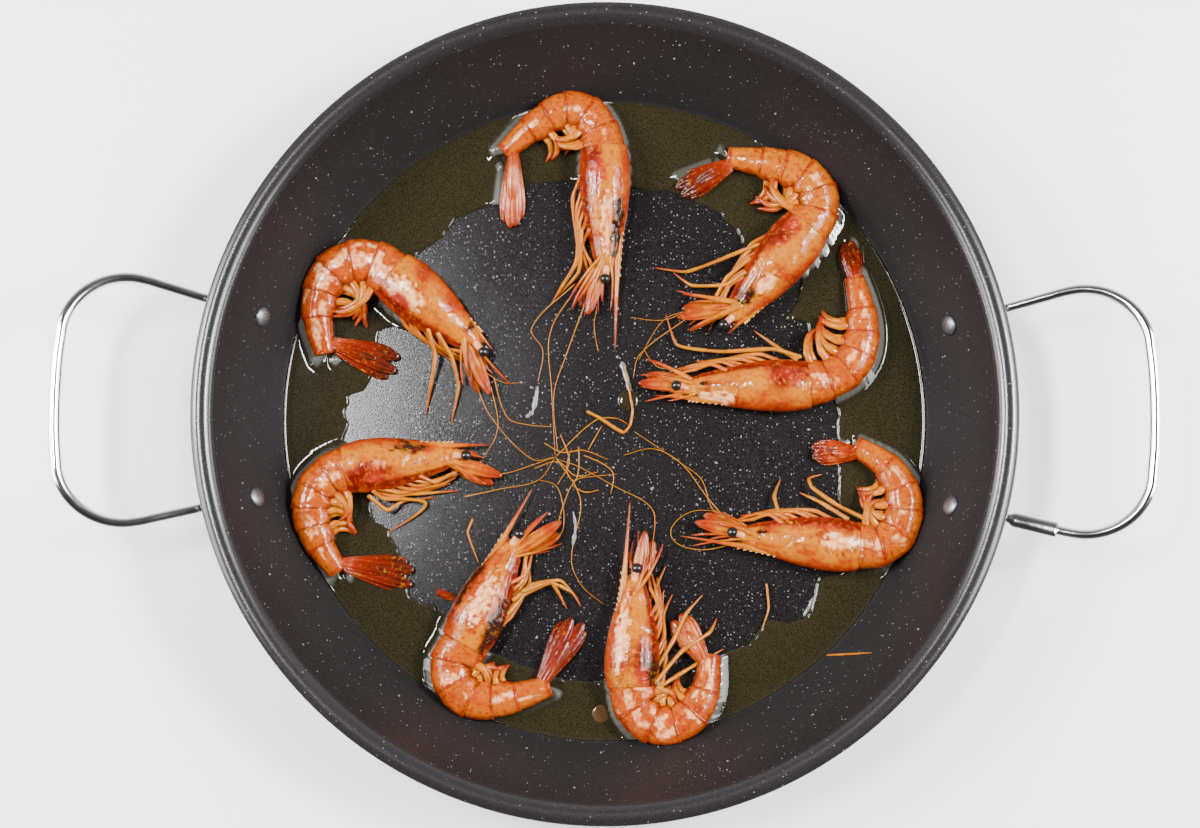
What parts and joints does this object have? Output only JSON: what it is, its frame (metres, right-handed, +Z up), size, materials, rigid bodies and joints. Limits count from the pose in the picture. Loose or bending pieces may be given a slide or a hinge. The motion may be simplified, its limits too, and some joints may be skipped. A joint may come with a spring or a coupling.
{
  "type": "paella pan with frying shrimps",
  "caption": "Wide non-stick paella pan with wire handles, holding whole shrimps that fry in a ring of oil.",
  "frame": {"origin": "middle of the pan's flat underside", "axes": "+X out through the right handle, +Y to the far side of the pan, +Z up"},
  "size_m": [0.4508, 0.34, 0.0579],
  "materials": {
    "coated_pan": "satin non-stick coating with fine pale specks",
    "handle_wire": "bright plated wire",
    "rivets": "satin",
    "oil": "clear wet film",
    "shrimp": "wet cooked shell"
  },
  "bodies": {
    "root": {"pan": "coated_pan", "handle_left": "handle_wire", "handle_right": "handle_wire", "rivet_1": "rivets", "rivet_2": "rivets", "rivet_3": "rivets", "rivet_4": "rivets", "oil": "oil", "shrimp_1": "shrimp", "shrimp_2": "shrimp", "shrimp_3": "shrimp", "shrimp_4": "shrimp", "shrimp_5": "shrimp", "shrimp_6": "shrimp", "shrimp_7": "shrimp", "shrimp_8": "shrimp", "loose_leg_1": "shrimp", "loose_leg_2": "shrimp", "loose_leg_3": "shrimp"}
  },
  "joints": []
}
